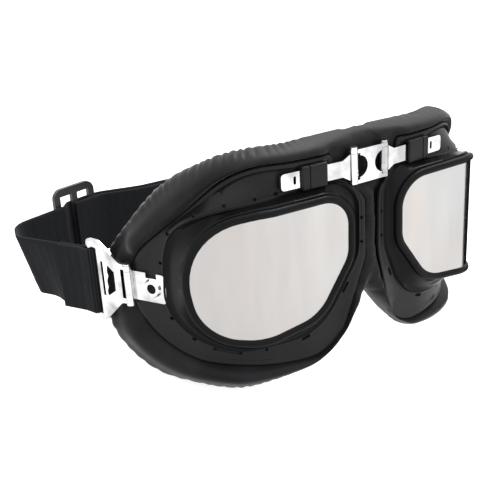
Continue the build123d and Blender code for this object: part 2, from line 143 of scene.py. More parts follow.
def rounded(corners):
    """A closed outline with rounded corners, as close points."""
    points = []
    for i, (cx, cz, r) in enumerate(corners):
        corner = np.array((cx, cz), float)
        u = np.array(corners[i - 1][:2]) - corner
        v = np.array(corners[(i + 1) % len(corners)][:2]) - corner
        u, v = u / np.linalg.norm(u), v / np.linalg.norm(v)
        half = math.acos(np.clip(u @ v, -1, 1)) / 2
        middle = (u + v) / np.linalg.norm(u + v)
        centre = corner + middle * r / math.sin(half)
        start, end = corner + u * r / math.tan(half) - centre, corner + v * r / math.tan(half) - centre
        a0 = math.atan2(start[1], start[0])
        sweep = (math.atan2(end[1], end[0]) - a0 + math.pi) % (2 * math.pi) - math.pi
        points += [centre + r * np.array((math.cos(a0 + sweep * t), math.sin(a0 + sweep * t)))
                   for t in np.linspace(0, 1, CORNER_STEPS)]
    points = np.array(points)
    following = np.roll(points, -1, 0)
    shares = np.linspace(0, 1, RUN_STEPS, endpoint=False)
    return np.concatenate([points + (following - points) * t for t in shares])


def rays(corners, grow=0.0):
    """Across and height where even rays from the eye's middle cross an outline."""
    points = rounded(corners) - RAY_CENTRE
    angle = np.arctan2(points[:, 1], points[:, 0]) % (2 * math.pi)
    order = np.argsort(angle)
    at = np.arange(RAYS) * 2 * math.pi / RAYS
    radius = np.interp(at, angle[order], np.hypot(*points.T)[order], period=2 * math.pi)
    w, z = RAY_CENTRE[0] + radius * np.cos(at), RAY_CENTRE[1] + radius * np.sin(at)
    return grown(w, z, grow) if grow else (w, z)


def grown(w, z, by):
    """An outline moved outwards."""
    dw, dz = np.roll(w, -1) - np.roll(w, 1), np.roll(z, -1) - np.roll(z, 1)
    length = np.hypot(dw, dz)
    return w + dz / length * by, z - dw / length * by


def smooth(x, low, high):
    """0 below low, 1 above high and an even ease between them."""
    t = np.clip((np.asarray(x, float) - low) / (high - low), 0, 1)
    return t * t * (3 - 2 * t)


# ---- mesh helpers
def finish_mesh(mesh_bm, name, material, sharp=None):
    """An object from a bmesh, smooth apart from edges sharper than the angle given."""
    mesh = bpy.data.meshes.new(name)
    bmesh.ops.recalc_face_normals(mesh_bm, faces=mesh_bm.faces)
    mesh_bm.to_mesh(mesh)
    mesh_bm.free()
    obj = bpy.data.objects.new(name, mesh)
    bpy.context.scene.collection.objects.link(obj)
    for m in material if isinstance(material, list) else [material]:
        mesh.materials.append(m)
    mesh.shade_smooth()
    if sharp is not None:
        mesh.set_sharp_from_angle(angle=math.radians(sharp))
    return obj


def grid_bm(rings, closed_along=True):
    """Quads between consecutive rings of points in drawing millimetres; the last ring joins the first."""
    rings = to_frame(rings)
    count, n = rings.shape[:2]
    mesh_bm = bmesh.new()
    verts = [[mesh_bm.verts.new(p) for p in ring] for ring in rings]
    for i in range(count):
        a, b = verts[i], verts[(i + 1) % count]
        for k in range(n if closed_along else n - 1):
            mesh_bm.faces.new((a[k], a[(k + 1) % n], b[(k + 1) % n], b[k]))
    return mesh_bm


def grid(name, rings, material, sharp=None):
    return finish_mesh(grid_bm(rings), name, material, sharp)


def to_side(rings, side):
    """Rings drawn for the wearer's left, mirrored for the right."""
    return np.asarray(rings) * (side, 1, 1)


def frame_body(side):
    return "frame_left" if side > 0 else "frame_right"


def apply_modifiers(obj):
    """Turns the modified shape into the object's own mesh."""
    bpy.context.view_layer.update()
    shown = obj.evaluated_get(bpy.context.evaluated_depsgraph_get())
    mesh = bpy.data.meshes.new_from_object(shown)
    old = obj.data
    obj.modifiers.clear()
    obj.data = mesh
    bpy.data.meshes.remove(old)
    return obj


def subdivide(obj):
    m = obj.modifiers.new("Subdivision", "SUBSURF")
    m.levels = m.render_levels = 1
    return apply_modifiers(obj)


def soften_edges(obj, width):
    """A rounded edge on a CAD part, as a modifier."""
    m = obj.modifiers.new("Edge", "BEVEL")
    m.width = width * MM
    m.segments = 3
    m.limit_method = "ANGLE"
    m.angle_limit = math.radians(35)
    m.use_clamp_overlap = True
    m.harden_normals = True


# ---- materials
def new_material(name):
    """A node material with its nodes, its links and its shader."""
    m = bpy.data.materials.new(name)
    m.use_nodes = True
    nodes = m.node_tree.nodes
    return m, nodes, m.node_tree.links, nodes["Principled BSDF"]


def add(nodes, kind, **values):
    """A shader node with its inputs or properties set."""
    node = nodes.new("ShaderNode" + kind)
    for key, value in values.items():
        if key in node.inputs:
            node.inputs[key].default_value = value
        else:
            setattr(node, key, value)
    return node


def colour_ramp(nodes, stops):
    """A colour ramp from pairs of position and colour."""
    ramp = nodes.new("ShaderNodeValToRGB")
    elements = ramp.color_ramp.elements
    while len(elements) < len(stops):
        elements.new(0.5)
    for element, (position, colour) in zip(elements, stops):
        element.position = position
        element.color = (*colour, 1)
    return ramp


def grey(v):
    return (v, v, v)


def object_noise(nodes, links, scale, detail, stretch=(1, 1, 1)):
    """Noise over the piece's own coordinates; scale is in waves per metre."""
    place = add(nodes, "TexCoord")
    mapping = nodes.new("ShaderNodeMapping")
    mapping.inputs["Scale"].default_value = stretch
    links.new(place.outputs["Object"], mapping.inputs["Vector"])
    texture = add(nodes, "TexNoise", Scale=scale, Detail=detail)
    links.new(mapping.outputs["Vector"], texture.inputs["Vector"])
    return texture


def bump(nodes, links, height, shader, strength, distance_mm, after=None):
    """Relief from a height output, laid over an earlier bump if one is given."""
    node = add(nodes, "Bump", Strength=strength, Distance=distance_mm * MM)
    links.new(height, node.inputs["Height"])
    if after is not None:
        links.new(after.outputs["Normal"], node.inputs["Normal"])
    links.new(node.outputs["Normal"], shader.inputs["Normal"])
    return node


def ramped(nodes, links, factor, stops, socket):
    """Sets a shader's socket from a factor through a colour ramp."""
    ramp = colour_ramp(nodes, stops)
    links.new(factor, ramp.inputs["Fac"])
    links.new(ramp.outputs["Color"], socket)


def leather_material():
    """Black leather: small grain cells, fine pores and uneven polish."""
    m, nodes, links, shader = new_material("black_leather")
    cells = add(nodes, "TexVoronoi", Scale=900.0, feature="SMOOTH_F1")
    place = add(nodes, "TexCoord")
    links.new(place.outputs["Object"], cells.inputs["Vector"])
    soft = object_noise(nodes, links, 60.0, 3.0).outputs["Fac"]
    fine = object_noise(nodes, links, 1400.0, 2.0)
    ramped(nodes, links, soft, [(0.3, (0.005, 0.005, 0.0055)), (0.7, (0.011, 0.011, 0.012))],
           shader.inputs["Base Color"])
    ramped(nodes, links, soft, [(0.25, grey(0.40)), (0.75, grey(0.52))], shader.inputs["Roughness"])
    shader.inputs["Specular IOR Level"].default_value = 0.07
    shader.inputs["Sheen Weight"].default_value = 0.09
    shader.inputs["Sheen Roughness"].default_value = 0.32
    first = bump(nodes, links, cells.outputs["Distance"], shader, 0.35, 0.12)
    bump(nodes, links, fine.outputs["Fac"], shader, 0.25, 0.06, first)
    return m


def plastic_material(name, colour, rough, coat, grain, specular):
    """Moulded plastic or rubber with a faint surface texture."""
    m, nodes, links, shader = new_material(name)
    soft = object_noise(nodes, links, 45.0, 3.0).outputs["Fac"]
    fine = object_noise(nodes, links, 2600.0, 2.0)
    low, high = tuple(c * 0.8 for c in colour), tuple(c * 1.25 for c in colour)
    ramped(nodes, links, soft, [(0.3, low), (0.7, high)], shader.inputs["Base Color"])
    ramped(nodes, links, soft, [(0.3, grey(rough * 0.85)), (0.7, grey(rough * 1.15))],
           shader.inputs["Roughness"])
    shader.inputs["Specular IOR Level"].default_value = specular
    shader.inputs["Coat Weight"].default_value = coat
    shader.inputs["Coat Roughness"].default_value = 0.08
    bump(nodes, links, fine.outputs["Fac"], shader, grain, 0.03)
    return m


def chrome_material():
    """Bright plating with slight waves and uneven brightness."""
    m, nodes, links, shader = new_material("chrome")
    shader.inputs["Metallic"].default_value = 1.0
    soft = object_noise(nodes, links, 90.0, 4.0).outputs["Fac"]
    ramped(nodes, links, soft, [(0.35, (0.34, 0.34, 0.35)), (0.6, (0.66, 0.66, 0.66))],
           shader.inputs["Base Color"])
    ramped(nodes, links, soft, [(0.3, grey(0.08)), (0.75, grey(0.16))], shader.inputs["Roughness"])
    wave = object_noise(nodes, links, 220.0, 2.0)
    bump(nodes, links, wave.outputs["Fac"], shader, 0.06, 0.1)
    return m


def lens_material():
    """Mirror coating with faint upright streaks and a warm cast in places."""
    m, nodes, links, shader = new_material("mirror_lens")
    shader.inputs["Metallic"].default_value = 1.0
    streaks = object_noise(nodes, links, 75.0, 3.0, stretch=(1, 1, 0.2)).outputs["Fac"]
    clouds = object_noise(nodes, links, 22.0, 2.0).outputs["Fac"]
    mix = add(nodes, "Mix", data_type="RGBA", blend_type="MULTIPLY")
    mix.inputs["Factor"].default_value = 1.0
    ramped(nodes, links, streaks, [(0.25, (0.35, 0.354, 0.358)), (0.5, (0.385, 0.383, 0.377)),
                                   (0.75, (0.42, 0.414, 0.405))], mix.inputs["A"])
    ramped(nodes, links, clouds, [(0.40, (1.0, 1.0, 1.0)), (0.62, (1.0, 0.955, 0.935))], mix.inputs["B"])
    links.new(mix.outputs["Result"], shader.inputs["Base Color"])
    ramped(nodes, links, streaks, [(0.3, grey(0.16)), (0.7, grey(0.24))], shader.inputs["Roughness"])
    return m


def webbing_material():
    """Ribbed elastic webbing, woven over its own UV map, with soft upright creases."""
    m, nodes, links, shader = new_material("strap_webbing")
    uv = add(nodes, "UVMap", uv_map="weave")
    ribs = add(nodes, "TexWave", Scale=0.35, Distortion=0.6)
    ribs.inputs["Detail"].default_value = 1.0
    ribs.bands_direction = "X"
    links.new(uv.outputs["UV"], ribs.inputs["Vector"])
    threads = add(nodes, "TexWave", Scale=0.5, Distortion=1.2)
    threads.bands_direction = "Y"
    links.new(uv.outputs["UV"], threads.inputs["Vector"])
    soft = object_noise(nodes, links, 80.0, 3.0).outputs["Fac"]
    ramped(nodes, links, ribs.outputs["Fac"], [(0.1, (0.003, 0.003, 0.004)), (0.9, (0.010, 0.011, 0.013))],
           shader.inputs["Base Color"])
    ramped(nodes, links, soft, [(0.3, grey(0.72)), (0.7, grey(0.86))], shader.inputs["Roughness"])
    shader.inputs["Sheen Weight"].default_value = 0.02
    shader.inputs["Sheen Roughness"].default_value = 0.4
    shader.inputs["Specular IOR Level"].default_value = 0.08
    creases = object_noise(nodes, links, 95.0, 2.0, stretch=(1, 1, 0.12))
    base = bump(nodes, links, creases.outputs["Fac"], shader, 0.5, 1.2)
    first = bump(nodes, links, ribs.outputs["Fac"], shader, 0.5, 0.2, base)
    bump(nodes, links, threads.outputs["Fac"], shader, 0.3, 0.1, first)
    return m


LEATHER = leather_material()
# colour, roughness, coat, grain, specular level
SATIN = plastic_material("frame_satin", (0.006, 0.0062, 0.0065), 0.36, 0.0, 0.2, 0.13)
GLOSS = plastic_material("frame_gloss", (0.004, 0.0039, 0.0038), 0.24, 0.0, 0.05, 0.05)
RIM = plastic_material("rim_black", (0.0035, 0.0036, 0.0039), 0.33, 0.0, 0.25, 0.06)
# darker, rougher black on the faces the vents cut: painted shade inside the holes
VENT_PAINTED_SHADE = plastic_material("vent_painted_shade", (0.002, 0.002, 0.002), 0.8, 0.0, 0.1, 0.35)
SLIDER_BLACK = plastic_material("slider_black", (0.014, 0.014, 0.015), 0.3, 0.1, 0.2, 0.35)
RUBBER = plastic_material("gasket_rubber", (0.012, 0.012, 0.012), 0.75, 0.0, 0.3, 0.35)
CHROME = chrome_material()
MIRROR = lens_material()
WEBBING = webbing_material()


# ---- eye frames
BEZEL_WIDTH = 3.1
# how far outside the lens opening, and how far behind the front of the bezel
BEZEL_PROFILE = [(0.0, 1.2), (-0.05, 0.75), (0.15, 0.3), (0.6, -0.05), (1.3, -0.25), (2.0, -0.2), (2.6, 0.1),
                 (3.0, 0.6), (3.1, 1.3), (3.05, 2.2), (2.6, 2.4), (1.0, 2.4), (0.2, 2.0)]


def bezel(side, name):
    """The rounded rim in front of the lens."""
    w, z = rays(SIGHT)
    rim_w, rim_z = grown(w, z, BEZEL_WIDTH)
    rings = []
    for offset, depth in BEZEL_PROFILE:
        share = offset / BEZEL_WIDTH
        ow, oz = w + (rim_w - w) * share, z + (rim_z - z) * share
        rings.append(draped(LENS_CURVE, ow, oz, -depth))
    obj = grid(name, to_side(rings, side), RIM)
    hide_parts(name)
    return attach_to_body(obj, frame_body(side))


def wall_crossing(out):
    """Where the tapering box wall meets a surface in front of the flange curve: across and height."""
    fw, fz = rays(BOX_FRONT)
    bw, bz = rays(BOX_BACK)
    t = np.full(RAYS, 0.5)
    for _ in range(12):
        w, z = bw + (fw - bw) * t, bz + (fz - bz) * t
        x, y = plan(FLANGE_CURVE, unroll(FLANGE_CURVE, w), out)
        t = (x * AXIS[0] + y * AXIS[1] - BOX_BACK_AT) / (BOX_FRONT_AT - BOX_BACK_AT)
    return w, z


def swell(s, z):
    """How far the flange rises to meet the wall at its upper temple corner."""
    return SWELL * smooth(s, 32, 58) * (1 - smooth(s, 66, 104)) * smooth(z, 50, 80)


def wall_root():
    """The foot of the wall: across, height and how far it stands in front of the flange curve."""
    w, z = wall_crossing(0.0)
    lift = swell(unroll(FLANGE_CURVE, w), z)
    w, z = wall_crossing(lift)
    return w, z, lift


def lip_share(z, s):
    """1 where the flange carries its raised top lip."""
    return smooth(z, 80, 88) * smooth(s, 14, 19) * (1 - smooth(s, 76, 84))


FRAME_LIP, FRAME_LIP_DEPTH = 1.6, 1.2  # the frame's inner lip: in from the wall's edge, and behind it
SHOULDER = 0.5  # rounding of the wall's front edge
WALL_HOLLOW = 0.7  # how far the box wall curves in halfway down
WALL_SHARES = (0.1, 0.25, 0.45, 0.65, 0.82)
# the fillet at the wall's foot: outside the root, in front of the flange
WALL_FOOT = [(-0.15, 1.4), (0.1, 0.7), (0.6, 0.2), (1.3, 0.0)]
# the flange's edge: outside its outline, in front of its face, share of the raised lip
FLANGE_EDGE = [(-2.7, 0.0, 0.0), (-2.2, 0.0, 0.7), (-1.5, 0.0, 1.0), (-0.8, 0.0, 1.0), (-0.3, -0.1, 0.75),
               (0.0, -0.45, 0.2), (0.0, -1.6, 0.0), (-0.5, -2.0, 0.0), (-4.0, -2.0, 0.0)]


def frame_rings():
    """The moulded eye frame as a closed set of rings, and how many of them are glossy wall."""
    front_w, front_z = rays(SIGHT, FRONT_WIDTH)
    root_w, root_z, lift = wall_root()
    edge_w, edge_z = rays(FLANGE)
    front = draped(LENS_CURVE, front_w, front_z, 0.1 - RIM_DEPTH)
    inner_w, inner_z = rays(SIGHT, LEDGE_WIDTH)
    lip_in = draped(LENS_CURVE, inner_w, inner_z, -RIM_DEPTH)
    root = draped(FLANGE_CURVE, root_w, root_z, lift)
    deep_w, deep_z = grown(front_w, front_z, -FRAME_LIP)
    deep = draped(LENS_CURVE, deep_w, deep_z, -RIM_DEPTH - FRAME_LIP_DEPTH)
    gw, gz = grown(front_w, front_z, SHOULDER)
    shoulder = draped(LENS_CURVE, gw, gz, -RIM_DEPTH - SHOULDER)
    rings = [deep, lip_in, front, shoulder]
    for t in WALL_SHARES:
        p = shoulder + (root - shoulder) * t
        inward = p.mean(0) - p
        inward /= np.linalg.norm(inward, axis=1)[:, None]
        rings.append(p + inward * (WALL_HOLLOW * math.sin(math.pi * t)))
    for offset, out in WALL_FOOT:
        ow, oz = grown(root_w, root_z, offset)
        rings.append(draped(FLANGE_CURVE, ow, oz, out + lift))
    wall_count = len(rings) - 1
    start_w, start_z = grown(root_w, root_z, 1.6)
    for t in (0.0, 0.35, 0.7):
        w, z = start_w + (edge_w - start_w) * t * 0.93, start_z + (edge_z - start_z) * t * 0.93
        out = lift * (1 - t) ** 1.6 - 0.12 * math.sin(math.pi * t)
        rings.append(draped(FLANGE_CURVE, w, z, out))
    edge_s = unroll(FLANGE_CURVE, edge_w)
    lip = lip_share(edge_z, edge_s)
    for offset, out, raised in FLANGE_EDGE:
        ow, oz = grown(edge_w, edge_z, offset)
        rings.append(draped(FLANGE_CURVE, ow, oz, out + raised * lip))
    back_w, back_z = grown(root_w, root_z, -1.6)
    rings.append(draped(FLANGE_CURVE, back_w, back_z, -2.0))
    rings.append(draped(FLANGE_CURVE, back_w, back_z, -0.6))
    rings.append(deep * 0.75 + rings[-1] * 0.25)
    return np.array(rings), wall_count


# Each vent beside the wall's root: ray angle and half of its length, in degrees. Another program worked
# out most of the angles, from points read in the photograph, and they were rounded.
VENTS = [(112, 1.3), (98, 1.6), (83, 0.9), (64, 0.9), (45, 0.9), (23, 0.9), (3, 0.9), (-14, 0.9),
         (-30, 0.9), (-44, 0.9), (-55, 0.9), (-69, 0.9), (-86, 0.9), (-116, 3.0), (-158, 4.0),
         (172, 0.9), (158, 0.9), (136, 5.5)]
SLIT = (-62, 7.0)
# outside the wall's root: near edge, far edge, and then the depth
VENT_SIZE = (0.9, 2.3, 1.3)
SLIT_SIZE = (1.45, 1.8, 0.5)


def vent_cutter(angle, half, near_edge, far_edge, depth):
    """A short arc-shaped block that cuts one vent into the flange."""
    root_w, root_z, lift = wall_root()
    steps = max(2, int(half) + 1)
    at = (np.radians(np.linspace(angle - half, angle + half, steps)) * RAYS / (2 * math.pi)) % RAYS
    rings = []
    for offset, out in ((near_edge, 1.0), (far_edge, 1.0), (far_edge, -depth), (near_edge, -depth)):
        ow, oz = grown(root_w, root_z, offset)
        w = np.interp(at, np.arange(RAYS + 1), np.append(ow, ow[0]))
        z = np.interp(at, np.arange(RAYS + 1), np.append(oz, oz[0]))
        rise = np.interp(at, np.arange(RAYS + 1), np.append(lift, lift[0]))
        rings.append(draped(FLANGE_CURVE, w, z, out + rise))
    return np.array(rings)


def vent_object(side):
    """All the vent cutters of one eye frame as one mesh."""
    whole = bmesh.new()
    cutters = [vent_cutter(angle, half, *VENT_SIZE) for angle, half in VENTS]
    cutters.append(vent_cutter(*SLIT, *SLIT_SIZE))
    for rings in cutters:
        points = to_frame(to_side(rings, side))
        verts = [[whole.verts.new(p) for p in ring] for ring in points]
        n = len(verts[0])
        for i in range(4):
            a, b = verts[i], verts[(i + 1) % 4]
            for k in range(n - 1):
                whole.faces.new((a[k], a[k + 1], b[k + 1], b[k]))
        whole.faces.new([verts[i][0] for i in range(4)])
        whole.faces.new([verts[i][n - 1] for i in reversed(range(4))])
    return finish_mesh(whole, "vent_cutter", VENT_PAINTED_SHADE)


def eye_frame(side, name):
    """The moulded frame round one eye: flange, box wall, lip and vents."""
    rings, wall_count = frame_rings()
    obj = grid(name, to_side(rings, side), [SATIN, GLOSS, VENT_PAINTED_SHADE])
    for polygon in obj.data.polygons:
        if polygon.index // RAYS < wall_count - 1:
            polygon.material_index = 1
    cutter = vent_object(side)
    cut = obj.modifiers.new("Vents", "BOOLEAN")
    cut.operation = "DIFFERENCE"
    cut.solver = "MANIFOLD"
    cut.object = cutter
    # the faces cut by the vents take the cutter's material, which is painted shade
    cut.material_mode = "TRANSFER"
    apply_modifiers(obj)
    obj.data.set_sharp_from_angle(angle=math.radians(50))
    bpy.data.objects.remove(cutter)
    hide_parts(name)
    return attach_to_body(obj, frame_body(side))


ARM_ANGLE, ARM_START = math.radians(4.0), 8.1  # the bridge arm's line
KEEPER_START, KEEPER_END = 13.6, 25.4  # along the arm
KEEPER_FRONT, KEEPER_BACK, KEEPER_HALF = 2.0, 2.3, 5.0  # before it, behind it, above and below it
SLOT_HALF_T, SLOT_HALF_H = 0.66, 3.46  # half of the slot's thickness and height
EASE = 0.35  # rounding of the keeper's edges


def rounded_rectangle(half_a, half_b, r):
    """Points round a rectangle with rounded corners, anticlockwise."""
    points = []
    for a, b, start in ((1, 1, 0), (-1, 1, 90), (-1, -1, 180), (1, -1, 270)):
        for t in np.linspace(0, 90, 5):
            angle = math.radians(start + t)
            points.append((a * (half_a - r) + r * math.cos(angle), b * (half_b - r) + r * math.sin(angle)))
    return np.array(points)


def keeper(side, name):
    """The loop on the flange that the bridge arm slides in."""
    middle_t = (KEEPER_FRONT - KEEPER_BACK) / 2
    half_t = (KEEPER_FRONT + KEEPER_BACK) / 2
    outer = rounded_rectangle(half_t, KEEPER_HALF, 0.9) + (middle_t, 0)
    slimmer = rounded_rectangle(half_t - EASE, KEEPER_HALF - EASE, 0.6) + (middle_t, 0)
    slot = rounded_rectangle(SLOT_HALF_T, SLOT_HALF_H, 0.25)
    wide_slot = rounded_rectangle(SLOT_HALF_T + 0.2, SLOT_HALF_H + 0.2, 0.3)
    stations = [(slot, KEEPER_START + 0.6), (slot, KEEPER_END - 0.6), (wide_slot, KEEPER_END),
                (slimmer, KEEPER_END), (outer, KEEPER_END - 0.4), (outer, KEEPER_END - 3.2),
                (slimmer, KEEPER_END - 3.35), (slimmer, KEEPER_END - 3.6), (outer, KEEPER_END - 3.75),
                (outer, KEEPER_START + 0.4), (slimmer, KEEPER_START), (wide_slot, KEEPER_START)]
    along = np.array((math.cos(ARM_ANGLE), math.sin(ARM_ANGLE)))
    front = np.array((math.sin(ARM_ANGLE), -math.cos(ARM_ANGLE)))
    rings = []
    for shape, at in stations:
        plan_points = np.array((ARM_START, 0.0)) + along * at + shape[:, :1] * front
        rings.append(np.column_stack([plan_points, BRIDGE_Z + shape[:, 1]]))
    obj = grid(name, to_side(rings, side), SATIN, sharp=40)
    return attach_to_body(obj, frame_body(side))


# ---- leather mask
# share of the way from the flange's edge to the outer edge, and how far in front of the flange's face
ROLL = [(0.0, -2.4), (0.0, -1.0), (0.035, 0.3), (0.12, 1.35), (0.26, 1.95), (0.42, 1.7), (0.58, 0.7),
        (0.73, -0.9), (0.86, -2.9), (0.95, -5.0), (0.99, -7.0), (1.0, -9.0)]
# from the outer edge inwards, and the share of the way from the roll to the face side
TURN = [(0.7, 0.15), (2.0, 0.35), (4.0, 0.6), (6.3, 0.82), (9.0, 0.96), (12.5, 1.0)]
NOSE_SINK, TEMPLE_SINK = 2.2, 5.5  # how deep the padding gives way behind the metal parts
BRIDGE_BACK, ARM_LEAN, LEAN_FROM = 2.7, 0.07, 8  # behind the pins, and further back along each arm
GATHERS_SEED = 5
GATHER_HALF = 2.2  # half of a gather's width, in rays
NOTCH = 0.95  # depth of a gather in the sewn edge


def sunk(x, s, z, share):
    """How far the padding gives way behind the bridge and behind the temple brackets."""
    nose = NOSE_SINK * (1 - smooth(x, 2, 15)) * smooth(z, 15, 35) * (1 - smooth(z, 78, 95))
    temple = TEMPLE_SINK * smooth(s, 102, 109) * smooth(z, 12, 27) * (1 - smooth(z, 50, 66))
    return np.maximum(nose, temple * (1 - 0.5 * smooth(share, 0.72, 1.0)))


def upright_top(s, z):
    """Undoes the flange curve's lean at the nose for the top of the roll."""
    run, lean = FLANGE_CURVE[6:]
    return lean * np.maximum(0, 1 - s / run) * smooth(z, 60, 85)


def behind_bridge(points):
    """Keeps the leather behind the bridge, its pins and its arms."""
    x, y, z = points.T
    target = BRIDGE_BACK + ARM_LEAN * np.maximum(0, np.abs(x) - LEAN_FROM)
    window = smooth(z, 71, 79) * (1 - smooth(z, 94.0, 97.0)) * (1 - smooth(np.abs(x), 17, 23))
    return np.column_stack([x, y + np.maximum(0, target - y) * window, z])


def gathers():
    """Uneven notches along the sewn outer edge, 0 to 1, one value for each ray."""
    source = random.Random(GATHERS_SEED)
    value = np.zeros(RAYS)
    at = 0.0
    while at < RAYS:
        step = source.uniform(4.0, 7.5)
        depth = source.uniform(0.35, 1.0)
        k = np.arange(RAYS)
        distance = np.abs((k - at + RAYS / 2) % RAYS - RAYS / 2)
        value = np.maximum(value, depth * np.clip(1 - distance / GATHER_HALF, 0, 1) ** 1.5)
        at += step
    return value


def fade(inset):
    """Depth of a gather at a distance in from the sewn edge."""
    return NOTCH * (1 - float(smooth(inset, 1, 7)))


def eased(s, z, amount):
    """Rounds off the step in the flange's outline beside the bridge, at ray angles of 95 to 170 degrees."""
    at = np.arange(RAYS) * 360 / RAYS
    where = amount * smooth(at, 95, 112) * (1 - smooth(at, 150, 170))
    reach = 24
    kernel = np.exp(-(np.arange(-reach, reach + 1) / 11.0) ** 2)
    kernel /= kernel.sum()
    soft_s, soft_z = (np.convolve(np.r_[v[-reach:], v, v[:reach]], kernel, "valid") for v in (s, z))
    return s + (soft_s - s) * where, z + (soft_z - z) * where


def mask_rings():
    """Half of the padded mask, round one eye."""
    edge_w, edge_z = rays(FLANGE, 0.35)
    outer_w, outer_z = rays(MASK)
    inner_w, inner_z = rays(MASK_OPENING)
    edge_s, outer_s = unroll(FLANGE_CURVE, edge_w), unroll(FLANGE_CURVE, outer_w)
    notch = gathers() * smooth(np.abs(outer_w - 5), 8, 30)
    rings = []
    width = np.hypot(outer_s - edge_s, outer_z - edge_z)
    # the roll stands higher where it is wide, and is thinner at the temples
    plump = 1 + (np.clip(width / 7, 1, 2.1) - 1) * smooth(outer_s, 25, 50)
    shallow = 1 - 0.4 * smooth(outer_s, 82, 105)
    # the roll from the flange's edge to the sewn edge
    for share, out in ROLL:
        f = share - notch * NOTCH * smooth(share, 0.6, 0.99) / width
        s, z = edge_s + (outer_s - edge_s) * f, edge_z + (outer_z - edge_z) * f
        if 0.05 < share < 0.97:
            s, z = eased(s, z, smooth(share, 0.0, 0.3))
        x, _ = plan(FLANGE_CURVE, s)
        raised = out * (plump if out > 0 else shallow) - upright_top(s, z) * smooth(share, 0.15, 0.75)
        rings.append(behind_bridge(bent(FLANGE_CURVE, s, z, raised - sunk(x, s, z, share))))
    # round the sewn edge to the side that lies on the face
    for inset, back in TURN:
        w, z = grown(outer_w, outer_z, -inset)
        pull = notch * fade(inset) / 50
        w, z = w + (RAY_CENTRE[0] - w) * pull, z + (RAY_CENTRE[1] - z) * pull
        s = unroll(FLANGE_CURVE, w)
        x, _ = plan(FLANGE_CURVE, s)
        front = bent(FLANGE_CURVE, s, z, ROLL[-1][1] * shallow - sunk(x, s, z, 1.0) - upright_top(s, z))
        face = draped(FACE_CURVE, w, z)
        rings.append(front * (1 - back) + face * back)
    # the opening for the eye, and back under the flange
    for grow, out in ((4.5, 0.0), (1.5, 1.2), (0.0, 3.5)):
        w, z = grown(inner_w, inner_z, grow)
        rings.append(draped(FACE_CURVE, w, z, out))
    rings.append(draped(FLANGE_CURVE, inner_w, inner_z, -4.2))
    for edge, inwards, behind in (((inner_w, inner_z), 2.5, 3.7), ((edge_w, edge_z), -2.5, 3.4)):
        w, z = grown(*edge, inwards)
        rings.append(draped(FLANGE_CURVE, w, z, -behind))
    return np.array(rings)


def cut(obj, x, keep_above):
    """Keeps the part of a mesh on one side of an upright plane across x, in drawing millimetres."""
    plane = (x + ORIGIN[0]) * MM
    mesh_bm = bmesh.new()
    mesh_bm.from_mesh(obj.data)
    bmesh.ops.bisect_plane(mesh_bm, geom=mesh_bm.verts[:] + mesh_bm.edges[:] + mesh_bm.faces[:], dist=1e-7,
                           plane_co=(plane, 0, 0), plane_no=(1, 0, 0), clear_inner=keep_above,
                           clear_outer=not keep_above)
    mesh_bm.to_mesh(obj.data)
    mesh_bm.free()
    return obj


def crumple(points):
    """Wrinkles in the soft leather between the eye frames, as moves in millimetres."""
    moves = np.zeros_like(points)
    for i, (x, y, z) in enumerate(points):
        height = float(smooth(z, 18, 30)) * (1 - float(smooth(z, 76, 90)))
        amount = (1 - float(smooth(abs(x), 5, 14))) * height
        soft = noise.noise(Vector((x * 0.05, y * 0.05, z * 0.07 + 4)))
        moves[i, 1] = soft * 0.35
        if amount > 0.01:
            fold = noise.noise(Vector((x * 0.22, 3.0, z * 0.07)))
            crease = noise.noise(Vector((x * 0.25 + 7, 5.0, z * 0.22)))
            moves[i, 1] += amount * (fold * 1.6 + crease * 0.7)
    return moves


def build_mask():
    """The whole mask as one smooth mesh, both sides."""
    half = grid("mask_half", mask_rings(), LEATHER)
    cut(half, 0.0, keep_above=True)
    mesh_bm = bmesh.new()
    mesh_bm.from_mesh(half.data)
    middle = ORIGIN[0] * MM
    copy = bmesh.ops.duplicate(mesh_bm, geom=mesh_bm.verts[:] + mesh_bm.edges[:] + mesh_bm.faces[:])
    for element in copy["geom"]:
        if isinstance(element, bmesh.types.BMVert):
            element.co.x = 2 * middle - element.co.x
    bmesh.ops.reverse_faces(mesh_bm, faces=[f for f in copy["geom"] if isinstance(f, bmesh.types.BMFace)])
    seam = [v for v in mesh_bm.verts if abs(v.co.x - middle) < 0.02 * MM]
    bmesh.ops.remove_doubles(mesh_bm, verts=seam, dist=0.02 * MM)
    near_middle = [v for v in mesh_bm.verts if abs(v.co.x - middle) < 7 * MM]
    for _ in range(6):
        bmesh.ops.smooth_vert(mesh_bm, verts=near_middle, factor=0.5, use_axis_x=False, use_axis_y=True,
                              use_axis_z=True)
    bpy.data.objects.remove(half)
    whole = finish_mesh(mesh_bm, "leather_mask", LEATHER)
    subdivide(whole)
    points = np.array([v.co for v in whole.data.vertices]) / MM - ORIGIN
    points += crumple(points)
    points[:, 2] = np.maximum(points[:, 2], FLOOR_Z + 0.02)
    for vertex, point in zip(whole.data.vertices, to_frame(points)):
        vertex.co = point
    return whole


def with_normals(obj, source):
    """Takes the shading of the uncut mask, so that the cuts don't show."""
    transfer = obj.modifiers.new("Shading", "DATA_TRANSFER")
    transfer.object = source
    transfer.use_loop_data = True
    transfer.data_types_loops = {"CUSTOM_NORMAL"}
    transfer.loop_mapping = "POLYINTERP_NEAREST"
    return apply_modifiers(obj)


MASK_CUTS = (0.0, 4.0, 10.0)  # planes across x where the mask is split


